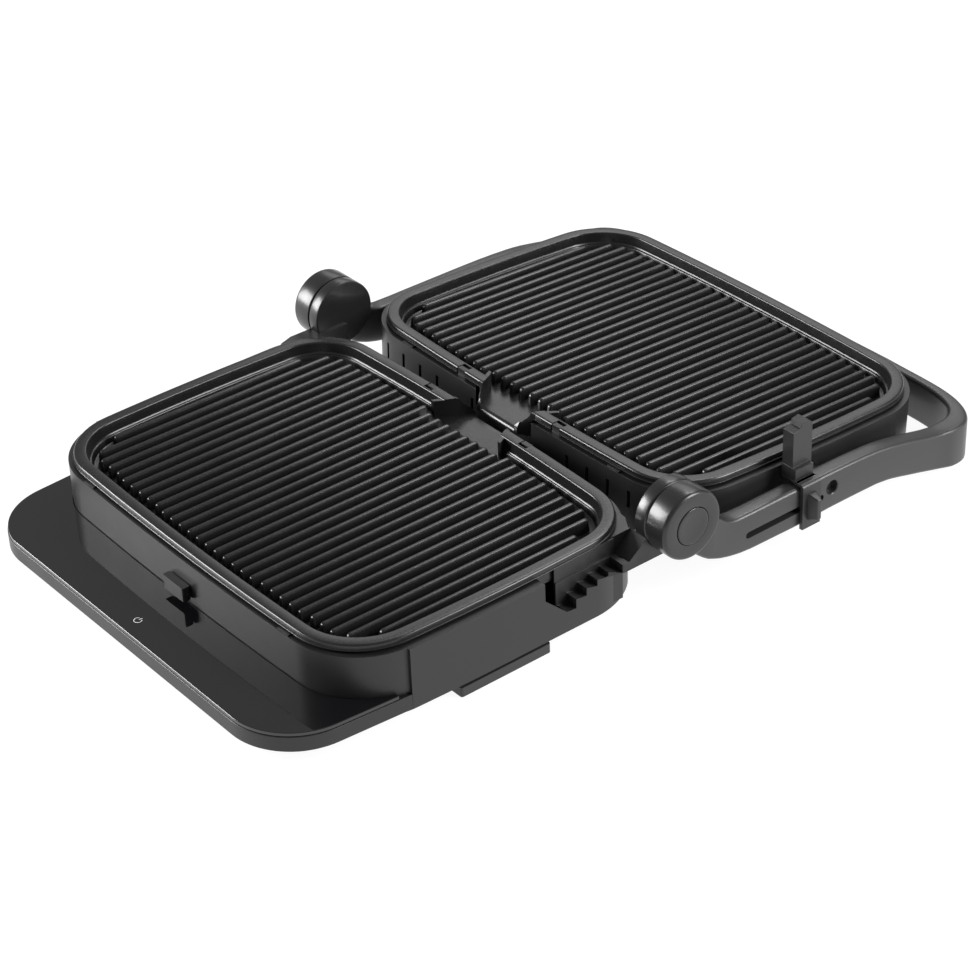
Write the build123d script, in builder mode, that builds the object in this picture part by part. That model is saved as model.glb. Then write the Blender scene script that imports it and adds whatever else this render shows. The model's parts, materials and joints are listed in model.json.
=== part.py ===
from build123d import *
import math
import os

os.makedirs("parts", exist_ok=True)

# Contact grill, opened flat. Millimetres, +X right, +Y away from the control
# side, +Z up. Origin at the middle of the opened grill's footprint, on the table.

# ---------------------------------------------------------------- dimensions
# cooking plates (both the same, the upper one mirrored front to back)
plate_half_w = 155.0
plate_half_d = 111.3
bow_side = 3.4
bow_front = 4.0
bow_rear = 4.4
r_front = 45.7
r_rear = 42.1
rim_w = 8.4
flange_t = 4.15
pan_floor = -11.9
pan_bottom = -14.9
ridge_pitch = 9.042
ridge_top = -4.35
ridge_base_w = 5.2

# where the two halves sit
rim_z = 55.4
lower_cy = -108.9
axis_y = 11.3
axis_z = 57.25
pivot_y = 128.1
pivot_z = 31.6
upper_tilt = 2.5
upper_rim = 22.3
upper_cy = 3.2

# housings
hous_half_w = 159.0
hous_half_d = 113.7
hous_rim = -5.4
wall = 3.0
seam_z = 9.8
bottom_z = 7.8
cover_low = -22.5
cover_top = -20.5

# control deck
deck_front_y = -266.6
deck_tip_y = -177.8
deck_top = 22.3
glass_t = 2.5
deck_low = 9.6
deck_r = 44.0

# hinges
disc_r = 22.2
disc_in, disc_out = 155.0, 164.3
drum_in, drum_out = 164.7, 180.8
pin_r = 4.0
run = 0.05
button_r = 11.9

# lid frame
arm_in, arm_out = 165.3, 177.4
handle_y = 267.2
handle_in_y = 259.0
handle_top = 29.5

# heater
tube_r = 3.3
tube_z = -19.0


def outline(half_w, half_d, rf, rr, cy, s):
    """Bowed, rounded outline; s=+1 has its control side at -Y, s=-1 at +Y."""
    with BuildSketch(Plane.XY, mode=Mode.PRIVATE) as sk:
        xc = half_w - bow_side
        yf = cy - s * (half_d - bow_front)
        yr = cy + s * (half_d - bow_rear)
        with BuildLine():
            ThreePointArc((-xc, yf), (0, cy - s * half_d), (xc, yf))
            ThreePointArc((xc, yf), (half_w, cy), (xc, yr))
            ThreePointArc((xc, yr), (0, cy + s * half_d), (-xc, yr))
            ThreePointArc((-xc, yr), (-half_w, cy), (-xc, yf))
        make_face()
        fillet(sk.vertices().filter_by(lambda v: (v.Y - cy) * s < 0), radius=rf)
        fillet(sk.vertices().filter_by(lambda v: (v.Y - cy) * s > 60), radius=rr)
    return sk.sketch


def plate_outline(inset, cy, s):
    return outline(
        plate_half_w - inset,
        plate_half_d - inset,
        max(r_front - inset, 8),
        max(r_rear - inset, 8),
        cy,
        s,
    )


def housing_outline(inset, cy, s):
    return outline(
        hous_half_w - inset,
        hous_half_d - inset,
        r_front + 3.2 - inset,
        r_rear + 3.2 - inset,
        cy,
        s,
    )


def slab(base, z0, z1, face, mode=Mode.ADD):
    """Prism of a face drawn in base's own X and Y, from height z0 to z1."""
    with BuildSketch(base.offset(z0)) as sk:
        add(face)
    extrude(sk.sketch, amount=z1 - z0, mode=mode)


def polygon_face(points):
    with BuildSketch(Plane.XY, mode=Mode.PRIVATE) as sk:
        with BuildLine():
            Polyline(*points, close=True)
        make_face()
    return sk.sketch


def rect_face(x0, x1, y0, y1, r=0.0):
    with BuildSketch(Plane.XY, mode=Mode.PRIVATE) as sk:
        with Locations(((x0 + x1) / 2, (y0 + y1) / 2)):
            if r:
                RectangleRounded(x1 - x0, y1 - y0, r)
            else:
                Rectangle(x1 - x0, y1 - y0)
    return sk.sketch


def circle_face(r, *centres):
    with BuildSketch(Plane.XY, mode=Mode.PRIVATE) as sk:
        with Locations(*centres):
            Circle(r)
    return sk.sketch


def x_plane(x, y, z):
    """Plane across X, its own X along +Y and its own Y along +Z."""
    return Plane(origin=(x, y, z), x_dir=(0, 1, 0), z_dir=(1, 0, 0))


def across(base, y):
    """Plane across the base's Y at y, facing -Y, its own Y up."""
    return Plane(
        origin=base.from_local_coords((0, y, 0)),
        x_dir=base.x_dir,
        z_dir=-base.y_dir,
    )


ground = Plane.XY
lower_plane = Plane.XY.offset(rim_z)
t = math.radians(upper_tilt)
upper_frame = Plane(
    origin=(0, pivot_y, pivot_z), x_dir=(1, 0, 0), z_dir=(0, math.sin(t), math.cos(t))
)
upper_plane = upper_frame.offset(upper_rim)


def ridge_half_length(i):
    i = abs(i)
    if i <= 5:
        return 94.6
    if i <= 10:
        return 93.0
    if i <= 13:
        return 91.0
    if i == 14:
        return 86.3
    return 70.3


def make_plate(base, cy, s):
    """Die-cast grill plate: rim flange, pan, ridges, spout at the hinge side."""
    hinge = cy + s * plate_half_d
    slab(base, pan_bottom, -flange_t + 0.01, plate_outline(5.2, cy, s))
    slab(base, -flange_t, 0, plate_outline(0, cy, s))
    # spout block under and behind the rim
    spout = polygon_face(
        [
            (-34, hinge - s * 14),
            (-27, hinge),
            (-19.5, hinge + s * 7.3),
            (19.5, hinge + s * 7.3),
            (27, hinge),
            (34, hinge - s * 14),
        ]
    )
    slab(base, pan_bottom, -8.2, spout)
    # pan
    slab(base, -8.1, 1, plate_outline(rim_w, cy, s), mode=Mode.SUBTRACT)
    slab(base, pan_floor, -8.0, plate_outline(rim_w + 2.4, cy, s), mode=Mode.SUBTRACT)
    # passage of the spout
    passage = polygon_face(
        [
            (-31, hinge - s * 13),
            (-23.7, hinge),
            (-16.5, hinge + s * 9),
            (16.5, hinge + s * 9),
            (23.7, hinge),
            (31, hinge - s * 13),
        ]
    )
    slab(base, pan_floor, 1, passage, mode=Mode.SUBTRACT)
    # notches for the locating lugs
    for x in (-46.0, 46.0):
        slab(
            base,
            -flange_t - 1,
            1,
            rect_face(x - 3.9, x + 3.9, min(hinge - s * 7.2, hinge + s), max(hinge - s * 7.2, hinge + s)),
            mode=Mode.SUBTRACT,
        )
    # ridges, in groups of equal length
    h = ridge_top - pan_floor + 0.4
    for length in (94.6, 93.0, 91.0, 86.3, 70.3):
        xs = [i * ridge_pitch for i in range(-15, 16) if ridge_half_length(i) == length]
        with BuildSketch(across(base, cy + length)) as sk:
            with Locations(*[(x, ridge_top - h / 2) for x in xs]):
                Trapezoid(ridge_base_w, h, 79)
        extrude(sk.sketch, amount=2 * length)


def heater_path(cy, s):
    """Plan points of the tube: two terminals at the hinge side, one long loop."""
    y0, y1, y2 = cy + s * 60, cy - s * 62, cy + s * 20
    return [
        (-22, y0),
        (-22, y2),
        (-52, y2),
        (-52, y0),
        (-112, y0),
        (-112, y1),
        (112, y1),
        (112, y0),
        (52, y0),
        (52, y2),
        (22, y2),
        (22, y0),
    ]


def make_heater(base, cy, s):
    pts = heater_path(cy, s)
    with BuildLine(base.offset(tube_z)) as path:
        FilletPolyline(*pts, radius=11)
    start = path.line @ 0
    direction = path.line % 0
    with BuildSketch(Plane(origin=start, z_dir=direction)) as sk:
        Circle(tube_r)
    sweep(sk.sketch, path=path.line)
    # terminals
    for x in (-22, 22):
        with BuildSketch(across(base, cy + s * 60)) as sk:
            with Locations((x, tube_z)):
                Circle(1.6)
        extrude(sk.sketch, amount=-9 if s > 0 else 9)


def make_reflector(base, cy, s):
    plate = outline(141, 96, 30, 30, cy, s)
    inner = outline(139.8, 94.8, 28.8, 28.8, cy, s)
    slab(base, tube_z - tube_r - 3.1, tube_z + 1.6, plate)
    slab(base, tube_z - tube_r - 1.9, tube_z + 2, inner, mode=Mode.SUBTRACT)
    # saddles that carry the tube
    for x in (-112, 112):
        for y in (cy - 30, cy + 20):
            slab(
                base,
                tube_z - tube_r - 2.0,
                tube_z - tube_r,
                rect_face(x - 6, x + 6, y - 4, y + 4),
            )
    for x in (-60, 60):
        slab(
            base,
            tube_z - tube_r - 2.0,
            tube_z - tube_r,
            rect_face(x - 4, x + 4, cy - s * 62 - 6, cy - s * 62 + 6),
        )


def make_thermostat(base, cy, s):
    low = tube_z - tube_r - 1.9
    slab(base, low, low + 3.0, rect_face(-14, 14, cy - 9, cy + 9, 2))
    slab(base, low + 3.0, pan_bottom - 0.4, circle_face(7.0, (0, cy)))
    for x in (-17, 17):
        slab(base, low, low + 1.0, rect_face(min(x, x * 0.7), max(x, x * 0.7), cy - 3, cy + 3))


def zigzag(x, y0, z0, z1, w, turns, thick):
    """Flat spring of folded strip standing between z0 and z1."""
    n = 2 * turns
    step = (z1 - z0 - thick) / n
    pts = []
    for i in range(n + 1):
        pts.append((x + (w / 2 if i % 2 else -w / 2), z0 + thick / 2 + step * i))
    with BuildLine() as strip:
        Polyline(*pts)
    trace(strip.line, line_width=thick)


# ------------------------------------------------------------------ base body
deck_plan = polygon_face(
    [
        (-159.6, deck_tip_y),
        (-153.1, deck_front_y),
        (153.1, deck_front_y),
        (159.6, deck_tip_y),
    ]
)
with BuildSketch(Plane.XY, mode=Mode.PRIVATE) as deck_sk:
    add(deck_plan)
    fillet(deck_sk.vertices().filter_by(lambda v: v.Y < -200), radius=deck_r)
deck_outer = deck_sk.sketch
with BuildSketch(Plane.XY, mode=Mode.PRIVATE) as deck_in_sk:
    add(deck_outer)
    offset(amount=-2.6, mode=Mode.REPLACE)
deck_inner = deck_in_sk.sketch
with BuildSketch(Plane.XY, mode=Mode.PRIVATE) as deck_glass_sk:
    add(deck_outer)
    offset(amount=-0.5, mode=Mode.REPLACE)
deck_glass = deck_glass_sk.sketch
hous_plan = housing_outline(0, lower_cy, 1)

ear_plan = [
    (128.0, -37.0),
    (148.0, -37.0),
    (160.9, -36.0),
    (164.3, -26.0),
    (164.3, 12.0),
    (153.2, 12.0),
    (153.2, -9.0),
    (148.5, -10.0),
    (140.0, -4.5),
    (122.0, -2.0),
    (118.0, -12.0),
]

base_screw_at = [(-149, -174.9), (149, -174.9), (-100, -5.0), (100, -5.0)]

rack_y0, rack_y1 = -82.9, -23.1
rack_z0 = 12.0
skin_x = 159.0
side_x = 161.0
rack_top = 39.5
# treads of the rack, each falling a little towards the hinge
rack_steps = [
    (-67.4, 23.8),
    (-60.3, 23.0),
    (-60.3, 29.2),
    (-52.4, 28.2),
    (-52.4, 33.2),
    (-44.3, 31.2),
    (-44.3, 35.4),
    (-35.9, 33.3),
    (-35.9, 36.8),
    (-27.5, 33.9),
    (-27.5, rack_top),
]

# fuller sides of the lower housing, level with the deck's sides
with BuildSketch(Plane.XY, mode=Mode.PRIVATE) as cheek_sk:
    for m in (1, -1):
        with BuildLine():
            Polyline((m * 147.0, -8.9), (m * 130, -24), (m * 130, deck_tip_y), (m * 159.6, deck_tip_y), (m * side_x, -130), (m * side_x, -44))
            ThreePointArc((m * side_x, -44), (m * 154.5, -19.5), (m * 147.0, -8.9))
        make_face()
cheeks = cheek_sk.sketch

with BuildPart() as lower_housing:
    top = rim_z + hous_rim
    slab(ground, seam_z, top, hous_plan)
    slab(ground, seam_z, top, cheeks)
    slab(ground, seam_z - 1, top - 4.0, housing_outline(wall, lower_cy, 1), mode=Mode.SUBTRACT)
    slab(ground, top - 4.5, top + 1, plate_outline(3.6, lower_cy, 1), mode=Mode.SUBTRACT)
    # hinge ears at the rear corners
    for m in (1, -1):
        ear = polygon_face([(m * x, y) for x, y in ear_plan])
        slab(ground, 33.7, top + 0.2, ear)
        # seat of the fixed disc
        with BuildSketch(x_plane(m * disc_in, axis_y, axis_z)):
            Circle(disc_r + 0.02)
        extrude(amount=m * 12, mode=Mode.SUBTRACT)
    slab(ground, seam_z - 1, 45.9, housing_outline(wall, lower_cy, 1), mode=Mode.SUBTRACT)
    slab(ground, 45.5, top + 1, plate_outline(3.6, lower_cy, 1), mode=Mode.SUBTRACT)
    # pads under the plate's flange
    for x in (-100, 100):
        for y, dy in ((lower_cy - 110.2, 1), (lower_cy + 110.2, -1)):
            slab(ground, top - 0.5, top + 0.9, rect_face(x - 5, x + 5, y - 1.2, y + 1.2))
    # locating lugs that stand in the plate's notches
    for x in (-46.0, 46.0):
        slab(ground, top - 4.0, rim_z - 0.3, rect_face(x - 3.4, x + 3.4, lower_cy + 106.6, lower_cy + 110.0))
    # spout cut in the rear wall
    slab(
        ground,
        rim_z + pan_bottom - 0.8,
        top + 6,
        polygon_face(
            [
                (-36, lower_cy + 100),
                (-30, lower_cy + 111),
                (-22, 8),
                (22, 8),
                (30, lower_cy + 111),
                (36, lower_cy + 100),
            ]
        ),
        mode=Mode.SUBTRACT,
    )
    # pocket of the height rack
    slab(ground, rack_z0 - 0.02, top + 6, rect_face(150.28, skin_x - 0.02, rack_y0 - 0.05, rack_y1 + 0.05), mode=Mode.SUBTRACT)
    # its open side, stepped like the treads
    with BuildSketch(x_plane(150.28, 0, 0)):
        with BuildLine():
            Polyline((rack_y0 - 0.05, 60), (rack_y0 - 0.05, 38.3), *rack_steps, (-23.0, rack_top), (-9.0, 50.3), (-9.0, 60), close=True)
        make_face()
    extrude(amount=18, mode=Mode.SUBTRACT)
    # window and guides of the plate latch in the front wall
    slab(ground, 23.6, 35.4, rect_face(-6.6, 6.6, -226, -218), mode=Mode.SUBTRACT)
    slab(ground, 12.0, 14.2, rect_face(-14, 14, -221, -212.5))
    # screw bosses
    for x, y in base_screw_at:
        if y < -100:
            slab(ground, seam_z, 34, rect_face(x - (7.5 if x < 0 else 6), x + (7.5 if x > 0 else 6), y - 6, y + 6))
        else:
            slab(ground, seam_z, 34, rect_face(x - 6, x + 6, y - 5, y + 6))
        slab(ground, seam_z - 1, 26, circle_face(1.5, (x, y)), mode=Mode.SUBTRACT)
    # cord opening in the left wall
    with BuildSketch(x_plane(-164, -60, 24)):
        Circle(6.0)
    extrude(amount=16, mode=Mode.SUBTRACT)
lower_housing.part.label = "lower_housing"
export_step(lower_housing.part, "parts/lower_housing.step")

tray_half_w = 60.0
with BuildPart() as bottom_cover:
    slab(ground, bottom_z, seam_z, hous_plan)
    slab(ground, bottom_z, deck_low, deck_inner)
    # raised rim inside the housing wall
    slab(ground, seam_z, seam_z + 5, housing_outline(wall + 0.1, lower_cy, 1))
    slab(ground, seam_z, seam_z + 6, housing_outline(wall + 1.7, lower_cy, 1), mode=Mode.SUBTRACT)
    # room for the screw bosses of the housing
    for x, y in base_screw_at:
        slab(ground, seam_z, seam_z + 6, rect_face(x - 9.4, x + 9.4, y - 6.8, y + 6.8), mode=Mode.SUBTRACT)
        slab(ground, bottom_z - 1, seam_z + 1, circle_face(1.7, (x, y)), mode=Mode.SUBTRACT)
    # room for the rack and for the latch's shelf
    slab(ground, seam_z, seam_z + 6, rect_face(149, 160, rack_y0 - 1.5, rack_y1 + 1.5), mode=Mode.SUBTRACT)
    slab(ground, seam_z, seam_z + 6, rect_face(-15, 15, -224, -211), mode=Mode.SUBTRACT)
    # posts under the reflector
    for x in (-45, 45):
        for y in (lower_cy - 55, lower_cy + 50):
            slab(ground, seam_z - 0.5, rim_z + tube_z - tube_r - 3.1, circle_face(4.5, (x, y)))
    # opening over the drip tray, with its two runners
    slab(ground, bottom_z - 1, seam_z + 8, rect_face(-63.6, 63.6, -31.0, 9), mode=Mode.SUBTRACT)
    for m in (1, -1):
        slab(ground, 4.6, bottom_z + 0.5, rect_face(min(m * 64.2, m * 66.4), max(m * 64.2, m * 66.4), -31, 3.8))
        slab(ground, 4.6, 6.2, rect_face(min(m * 61.2, m * 66.4), max(m * 61.2, m * 66.4), -31, 3.8))
    # sockets of the board posts
    for x in (64, 128):
        for y in (-196, -150):
            slab(ground, seam_z - 0.5, 15.0, circle_face(3.0, (x, y)))
bottom_cover.part.label = "bottom_cover"
export_step(bottom_cover.part, "parts/bottom_cover.step")

with BuildPart() as rubber_feet:
    slab(ground, 0, bottom_z, circle_face(9.0, (-112, -232), (112, -232), (-120, -8), (120, -8)))
    fillet(rubber_feet.edges().filter_by(GeomType.CIRCLE).group_by(Axis.Z)[0], radius=1.2)
rubber_feet.part.label = "rubber_feet"
export_step(rubber_feet.part, "parts/rubber_feet.step")

with BuildPart() as foot_rails:
    for m in (1, -1):
        slab(ground, 0, 6.3, rect_face(min(m * 147, m * 159.2), max(m * 147, m * 159.2), -143.7, -78.3, 1.5))
        slab(ground, 6.3, bottom_z, rect_face(min(m * 148.5, m * 156.5), max(m * 148.5, m * 156.5), -141.5, -80.5))
foot_rails.part.label = "foot_rails"
export_step(foot_rails.part, "parts/foot_rails.step")

with BuildPart() as control_deck:
    slab(ground, deck_low, deck_top - glass_t, deck_outer)
    slab(ground, deck_low - 1, deck_top - glass_t - 2.2, deck_inner, mode=Mode.SUBTRACT)
    slab(ground, deck_low - 1, deck_top, hous_plan, mode=Mode.SUBTRACT)
    # ribs that carry the touch board
    for x in (-60, 0, 60):
        slab(ground, 16.1, 17.8, rect_face(x - 3, x + 3, -258, -243))
control_deck.part.label = "control_deck"
export_step(control_deck.part, "parts/control_deck.step")

with BuildPart() as glass_panel:
    slab(ground, deck_top - glass_t, deck_top, deck_glass)
    with BuildSketch(Plane.XY.offset(deck_top - glass_t - 1)):
        add(hous_plan)
        offset(amount=0.35)
    extrude(amount=glass_t + 2, mode=Mode.SUBTRACT)
    slab(ground, deck_top - glass_t - 1, deck_top + 1, rect_face(-170, 170, -186, -150), mode=Mode.SUBTRACT)
glass_panel.part.label = "glass_panel"
export_step(glass_panel.part, "parts/glass_panel.step")

with BuildPart() as touch_board:
    slab(ground, 14.5, 16.1, rect_face(-75, 75, -261, -241))
    slab(ground, 12.6, 14.5, rect_face(-60, -48, -256, -246))
    slab(ground, 11.8, 14.5, rect_face(40, 54, -255, -247))
touch_board.part.label = "touch_board"
export_step(touch_board.part, "parts/touch_board.step")

with BuildPart() as power_board:
    slab(ground, 15.0, 16.6, rect_face(58, 134, -202, -144))
    slab(ground, 16.6, 27.0, rect_face(66, 84, -196, -182))
    slab(ground, 16.6, 26.0, rect_face(90, 104, -170, -150))
    slab(ground, 16.6, 23.0, circle_face(5.0, (118, -188)))
    slab(ground, 16.6, 24.0, rect_face(112, 130, -176, -166))
power_board.part.label = "power_board"
export_step(power_board.part, "parts/power_board.step")

with BuildPart() as lower_reflector:
    make_reflector(lower_plane, lower_cy, 1)
lower_reflector.part.label = "lower_reflector"
export_step(lower_reflector.part, "parts/lower_reflector.step")

with BuildPart() as lower_heating_element:
    make_heater(lower_plane, lower_cy, 1)
lower_heating_element.part.label = "lower_heating_element"
export_step(lower_heating_element.part, "parts/lower_heating_element.step")

with BuildPart() as lower_thermostat:
    make_thermostat(lower_plane, lower_cy, 1)
lower_thermostat.part.label = "lower_thermostat"
export_step(lower_thermostat.part, "parts/lower_thermostat.step")

# stepped rack for the height slider's fin
with BuildPart() as height_rack:
    slab(ground, rack_z0, rim_z + hous_rim - 0.2, rect_face(150.3, 151.4, -68.4, rack_y1))
    slab(ground, rack_z0, rack_top - 0.1, rect_face(151.3, 152.4, -68.4, rack_y1))
    slab(ground, rack_z0, 14.0, rect_face(151.3, skin_x - 0.05, rack_y0, rack_y1))
    with BuildSketch(x_plane(152.3, 0, 0)):
        with BuildLine():
            Polyline((-67.4, 13.9), *[(y, z - 0.1) for y, z in rack_steps], (rack_y1, rack_top - 0.1), (rack_y1, 13.9), close=True)
        make_face()
    extrude(amount=skin_x - 0.05 - 152.3)
height_rack.part.label = "height_rack"
export_step(height_rack.part, "parts/height_rack.step")

for side, m in (("right", 1), ("left", -1)):
    with BuildPart() as hinge_disc:
        with BuildSketch(x_plane(m * disc_in, axis_y, axis_z)):
            Circle(disc_r)
        extrude(amount=m * (disc_out - disc_in))
        fillet(hinge_disc.edges().filter_by(GeomType.CIRCLE), radius=1.2)
        with BuildSketch(x_plane(m * (disc_in + 2), axis_y, axis_z)):
            Circle(pin_r)
        extrude(amount=m * 12, mode=Mode.SUBTRACT)
    hinge_disc.part.label = "hinge_disc_" + side
    export_step(hinge_disc.part, "parts/hinge_disc_" + side + ".step")

with BuildPart() as hinge_pins:
    for m in (1, -1):
        with BuildSketch(x_plane(m * (disc_in + 2), axis_y, axis_z)):
            Circle(pin_r)
        extrude(amount=m * 14.2)
hinge_pins.part.label = "hinge_pins"
export_step(hinge_pins.part, "parts/hinge_pins.step")

with BuildPart() as cord_gland:
    with BuildSketch(x_plane(-151.6, -60, 24)):
        Circle(8.0)
    extrude(amount=-3.2)
    with BuildSketch(x_plane(-151.6, -60, 24)):
        Circle(5.98)
    extrude(amount=-14.0)
    with BuildSketch(x_plane(-side_x - 0.02, -60, 24)):
        Circle(8.0)
    extrude(amount=-3.4)
    with BuildSketch(x_plane(-150.0, -60, 24)):
        Circle(3.6)
    extrude(amount=-20.0, mode=Mode.SUBTRACT)
cord_gland.part.label = "cord_gland"
export_step(cord_gland.part, "parts/cord_gland.step")

with BuildPart() as base_screws:
    for x, y in base_screw_at:
        slab(ground, bottom_z - 1.6, bottom_z, circle_face(3.2, (x, y)))
        slab(ground, bottom_z, 24, circle_face(1.5, (x, y)))
        slab(ground, bottom_z - 2, bottom_z - 1.0, rect_face(x - 2, x + 2, y - 0.4, y + 0.4), mode=Mode.SUBTRACT)
base_screws.part.label = "base_screws"
export_step(base_screws.part, "parts/base_screws.step")

with BuildPart() as drip_tray:
    slab(ground, 1.0, 7.4, rect_face(-59.5, 59.5, -29.5, 16.2, 3))
    slab(ground, 6.5, 8.0, rect_face(-63.2, 63.2, -29.5, 16.2, 3))
    slab(ground, 2.2, 9.0, rect_face(-58.0, 58.0, -28.0, 14.4, 2), mode=Mode.SUBTRACT)
drip_tray.part.label = "drip_tray"
export_step(drip_tray.part, "parts/drip_tray.step")

with BuildPart() as lower_plate:
    make_plate(lower_plane, lower_cy, 1)
lower_plate.part.label = "lower_plate"
export_step(lower_plate.part, "parts/lower_plate.step")

# latch: grip outside the front wall, stem through the window, tongue inside
with BuildPart() as lower_latch:
    slab(ground, 26.4, 35.8, rect_face(-10.3, 10.3, -228.4, -223.1, 1.0))
    slab(ground, 27.6, 34.6, rect_face(-6.0, 6.0, -224, -217.5))
    slab(ground, 26.0, 43.0, rect_face(-11.0, 11.0, -219.1, -217.5))
    slab(ground, 40.6, 43.0, rect_face(-8.0, 8.0, -218, -215.9))
lower_latch.part.label = "lower_latch"
export_step(lower_latch.part, "parts/lower_latch.step")

with BuildPart() as lower_latch_spring:
    with BuildSketch(Plane(origin=(0, -216.4, 0), x_dir=(1, 0, 0), z_dir=(0, -1, 0))):
        zigzag(0, 0, 14.2, 25.7, 12, 3, 0.6)
    extrude(amount=2.4)
lower_latch_spring.part.label = "lower_latch_spring"
export_step(lower_latch_spring.part, "parts/lower_latch_spring.step")

# ------------------------------------------------------------- lid frame body
side_pts = [
    (axis_y + 8, axis_z - 6),
    (31.0, 56.0),
    (33.3, 54.5),
    (35.2, 51.4),
    (37.4, 49.2),
    (40.7, 46.4),
    (45.5, 44.1),
    (50.4, 43.1),
    (62.0, 42.8),
    (135.0, 42.6),
    (150.0, 42.1),
    (160.0, 41.7),
    (170.0, 40.8),
    (178.0, 39.7),
    (186.0, 38.2),
    (195.0, 36.4),
    (204.0, 34.2),
    (213.0, 32.0),
    (222.0, 30.3),
    (232.0, 29.6),
    (250.0, handle_top),
    (268.0, handle_top),
    (268.0, 0),
    (246.0, 0),
    (236.0, 0.9),
    (224.0, 3.6),
    (215.0, 5.8),
    (205.6, 8.2),
    (196.5, 10.4),
    (187.5, 12.7),
    (178.6, 14.7),
    (168.0, 15.9),
    (144.0, 16.3),
    (123.4, 16.3),
    (101.4, 15.2),
    (59.4, 16.1),
    (52.0, 17.0),
    (44.4, 18.4),
    (36.4, 20.6),
    (28.4, 23.9),
    (23.6, 27.3),
    (19.6, 30.7),
    (15.0, 35.0),
    (12.0, 37.5),
]

with BuildPart() as handle_frame:
    # plan of the U, then cut to the side view
    with BuildSketch(Plane.XY.offset(-1)) as plan:
        with BuildLine():
            l1 = Line((arm_out, 8), (arm_out, 165))
            l2 = Spline(l1 @ 1, (178.2, 218), (178.9, 236), (175.2, 249), (162, 259.3), (138, 265.2), (90, handle_y), tangents=[(0, 1), (-1, 0)])
            l3 = Line(l2 @ 1, (-90, handle_y))
            l4 = Spline(l3 @ 1, (-138, 265.2), (-162, 259.3), (-175.2, 249), (-178.9, 236), (-178.2, 218), (-arm_out, 165), tangents=[(-1, 0), (0, -1)])
            l5 = Line(l4 @ 1, (-arm_out, 8))
            l6 = Line(l5 @ 1, (-arm_in, 8))
            l7 = Line(l6 @ 1, (-arm_in, 165))
            l8 = Spline(l7 @ 1, (-165.5, 215), (-165.2, 234), (-161.2, 246), (-150, 253.6), (-130, 257.8), (-90, handle_in_y), tangents=[(0, 1), (1, 0)])
            l9 = Line(l8 @ 1, (90, handle_in_y))
            l10 = Spline(l9 @ 1, (130, 257.8), (150, 253.6), (161.2, 246), (165.2, 234), (165.5, 215), (arm_in, 165), tangents=[(1, 0), (0, -1)])
            l11 = Line(l10 @ 1, (arm_in, 8))
            l12 = Line(l11 @ 1, l1 @ 0)
        make_face()
    extrude(amount=60)
    with BuildSketch(x_plane(-200, 0, 0)):
        with BuildLine():
            Polyline(*side_pts, close=True)
        make_face()
    extrude(amount=400, mode=Mode.INTERSECT)
    for m in (1, -1):
        with BuildSketch(x_plane(m * drum_in, axis_y, axis_z)):
            Circle(disc_r)
        extrude(amount=m * (drum_out - drum_in))
    rims = handle_frame.edges().filter_by(GeomType.CIRCLE).filter_by(lambda e: abs(e.radius - disc_r) < 0.01 and abs(abs(e.center().X) - drum_out) < 0.6)
    for m in (1, -1):
        # bore that turns on the hinge pin, recess for button or cap
        with BuildSketch(x_plane(m * (drum_in - 1), axis_y, axis_z)):
            Circle(pin_r + run)
        extrude(amount=m * 8.6, mode=Mode.SUBTRACT)
        with BuildSketch(x_plane(m * (drum_out + 1), axis_y, axis_z)):
            Circle(button_r + (0.35 if m > 0 else 0.0))
        extrude(amount=-m * 9.3, mode=Mode.SUBTRACT)
        # bore of the arm pivot pin
        with BuildSketch(x_plane(m * 160, pivot_y, pivot_z)):
            Circle(4.0)
        extrude(amount=m * 24, mode=Mode.SUBTRACT)
        with BuildSketch(x_plane(m * 173.6, pivot_y, pivot_z)):
            Circle(4.6)
        extrude(amount=m * 12, mode=Mode.SUBTRACT)
    # slot of the height slider in the right arm
    with BuildSketch(x_plane(160, 89.0, 27.8)):
        SlotOverall(64.0, 4.4)
    extrude(amount=24, mode=Mode.SUBTRACT)
handle_frame.part.label = "handle_frame"
export_step(handle_frame.part, "parts/handle_frame.step")

with BuildPart() as drum_cap:
    with BuildSketch(x_plane(-drum_out + 8.3, axis_y, axis_z)):
        Circle(button_r)
    extrude(amount=-8.3)
drum_cap.part.label = "drum_cap"
export_step(drum_cap.part, "parts/drum_cap.step")

with BuildPart() as pivot_pins:
    for m in (1, -1):
        with BuildSketch(x_plane(m * 150.5, pivot_y, pivot_z)):
            Circle(4.0)
        extrude(amount=m * 23.0)
        with BuildSketch(x_plane(m * 159.6, pivot_y, pivot_z)):
            Circle(7.0)
        extrude(amount=m * (arm_in - 159.6))
pivot_pins.part.label = "pivot_pins"
export_step(pivot_pins.part, "parts/pivot_pins.step")

with BuildPart() as button_spring:
    with BuildSketch(Plane(origin=(0, axis_y - 2, 0), x_dir=(1, 0, 0), z_dir=(0, 1, 0))):
        with BuildLine():
            Polyline(
                (172.9, -(axis_z - 7)),
                (173.4, -(axis_z + 7)),
                close=False,
            )
        trace(line_width=0.6)
    extrude(amount=4)
button_spring.part.label = "button_spring"
export_step(button_spring.part, "parts/button_spring.step")

with BuildPart() as release_button:
    with BuildSketch(x_plane(177.0, axis_y, axis_z)):
        Circle(button_r)
    extrude(amount=4.2)
    fillet(release_button.edges().filter_by(GeomType.CIRCLE).group_by(Axis.X)[-1], radius=0.5)
release_button.part.label = "release_button"
export_step(release_button.part, "parts/release_button.step")

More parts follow.
